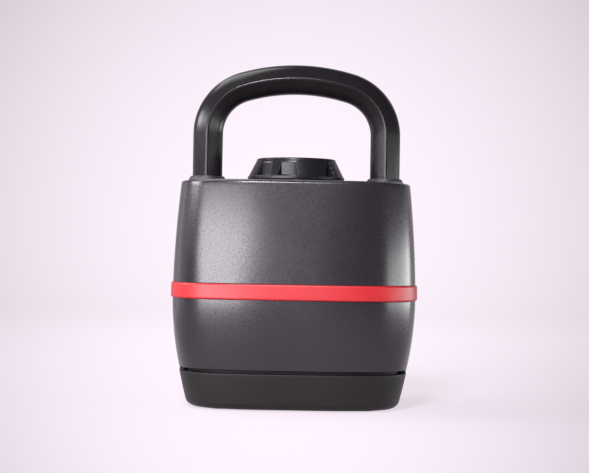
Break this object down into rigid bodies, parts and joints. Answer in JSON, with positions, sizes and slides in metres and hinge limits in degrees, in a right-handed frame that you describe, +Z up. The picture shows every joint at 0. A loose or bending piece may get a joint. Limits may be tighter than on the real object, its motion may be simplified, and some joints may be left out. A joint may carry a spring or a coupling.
{
  "type": "adjustable kettlebell",
  "caption": "Adjustable kettlebell: bridge handle and selector dial on a barrel shell with an accent band, over a stack of cast plates in a base tray.",
  "frame": {"origin": "centre of the footprint, on the plane the rubber feet stand on", "axes": "+Z up, the front faces -Y, +X to the right seen from the front"},
  "size_m": [0.2262, 0.1776, 0.3159],
  "materials": {
    "shell_grey": "fine satin texture",
    "tray_black": "fine matte texture",
    "cover_black": "matte",
    "band_red": "satin",
    "handle_black": "semi-gloss powder coat",
    "dial_black": "semi-gloss",
    "rubber_black": "matte",
    "bushing_black": "moulded",
    "iron": "coated casting",
    "steel": "turned"
  },
  "bodies": {
    "base": {"base_tray": "tray_black", "tray_liner": "rubber_black", "base_feet": "rubber_black", "locating_pins": "steel"},
    "plate_5": {"weight_plate_5": "iron", "plate_pads_5": "rubber_black"},
    "plate_4": {"weight_plate_4": "iron", "plate_pads_4": "rubber_black"},
    "plate_3": {"weight_plate_3": "iron", "plate_pads_3": "rubber_black"},
    "plate_2": {"weight_plate_2": "iron", "plate_pads_2": "rubber_black"},
    "plate_1": {"weight_plate_1": "iron", "plate_pads_1": "rubber_black"},
    "kettlebell": {"upper_shell": "shell_grey", "lower_shell": "shell_grey", "accent_band": "band_red", "top_cover": "cover_black", "cover_screws": "steel", "scale_ring": "cover_black", "handle_rods": "steel", "handle_grip": "handle_black", "handle_collars": "handle_black", "handle_nuts": "steel", "core_weight": "iron", "chassis_plate": "cover_black", "chassis_screws": "steel", "upper_bushing": "bushing_black", "lower_bushing": "bushing_black", "detent_spring": "steel", "detent_screws": "steel"},
    "selector": {"dial_knob": "dial_black", "dial_cap": "dial_black", "dial_screw": "steel", "selector_shaft": "steel", "index_wheel": "steel", "selector_cam_1": "steel", "selector_cam_2": "steel", "selector_cam_3": "steel", "selector_cam_4": "steel", "selector_cam_5": "steel", "cam_spacers": "steel", "retaining_clip": "steel"}
  },
  "joints": [
    {"name": "lift_plate_5", "type": "slide", "parent": "base", "child": "plate_5", "axis": [0, 0, 1], "range_m": [0, 0.15]},
    {"name": "lift_plate_4", "type": "slide", "parent": "plate_5", "child": "plate_4", "axis": [0, 0, 1], "range_m": [0, 0.15]},
    {"name": "lift_plate_3", "type": "slide", "parent": "plate_4", "child": "plate_3", "axis": [0, 0, 1], "range_m": [0, 0.15]},
    {"name": "lift_plate_2", "type": "slide", "parent": "plate_3", "child": "plate_2", "axis": [0, 0, 1], "range_m": [0, 0.15]},
    {"name": "lift_plate_1", "type": "slide", "parent": "plate_2", "child": "plate_1", "axis": [0, 0, 1], "range_m": [0, 0.15]},
    {"name": "lift_kettlebell", "type": "slide", "parent": "plate_1", "child": "kettlebell", "axis": [0, 0, 1], "range_m": [0, 0.15]},
    {"name": "turn_dial", "type": "hinge", "parent": "kettlebell", "child": "selector", "pos_m": [0, 0, 0.12], "axis": [0, 0, 1], "range_deg": [0, 150], "deforming": ["detent_spring"]}
  ]
}
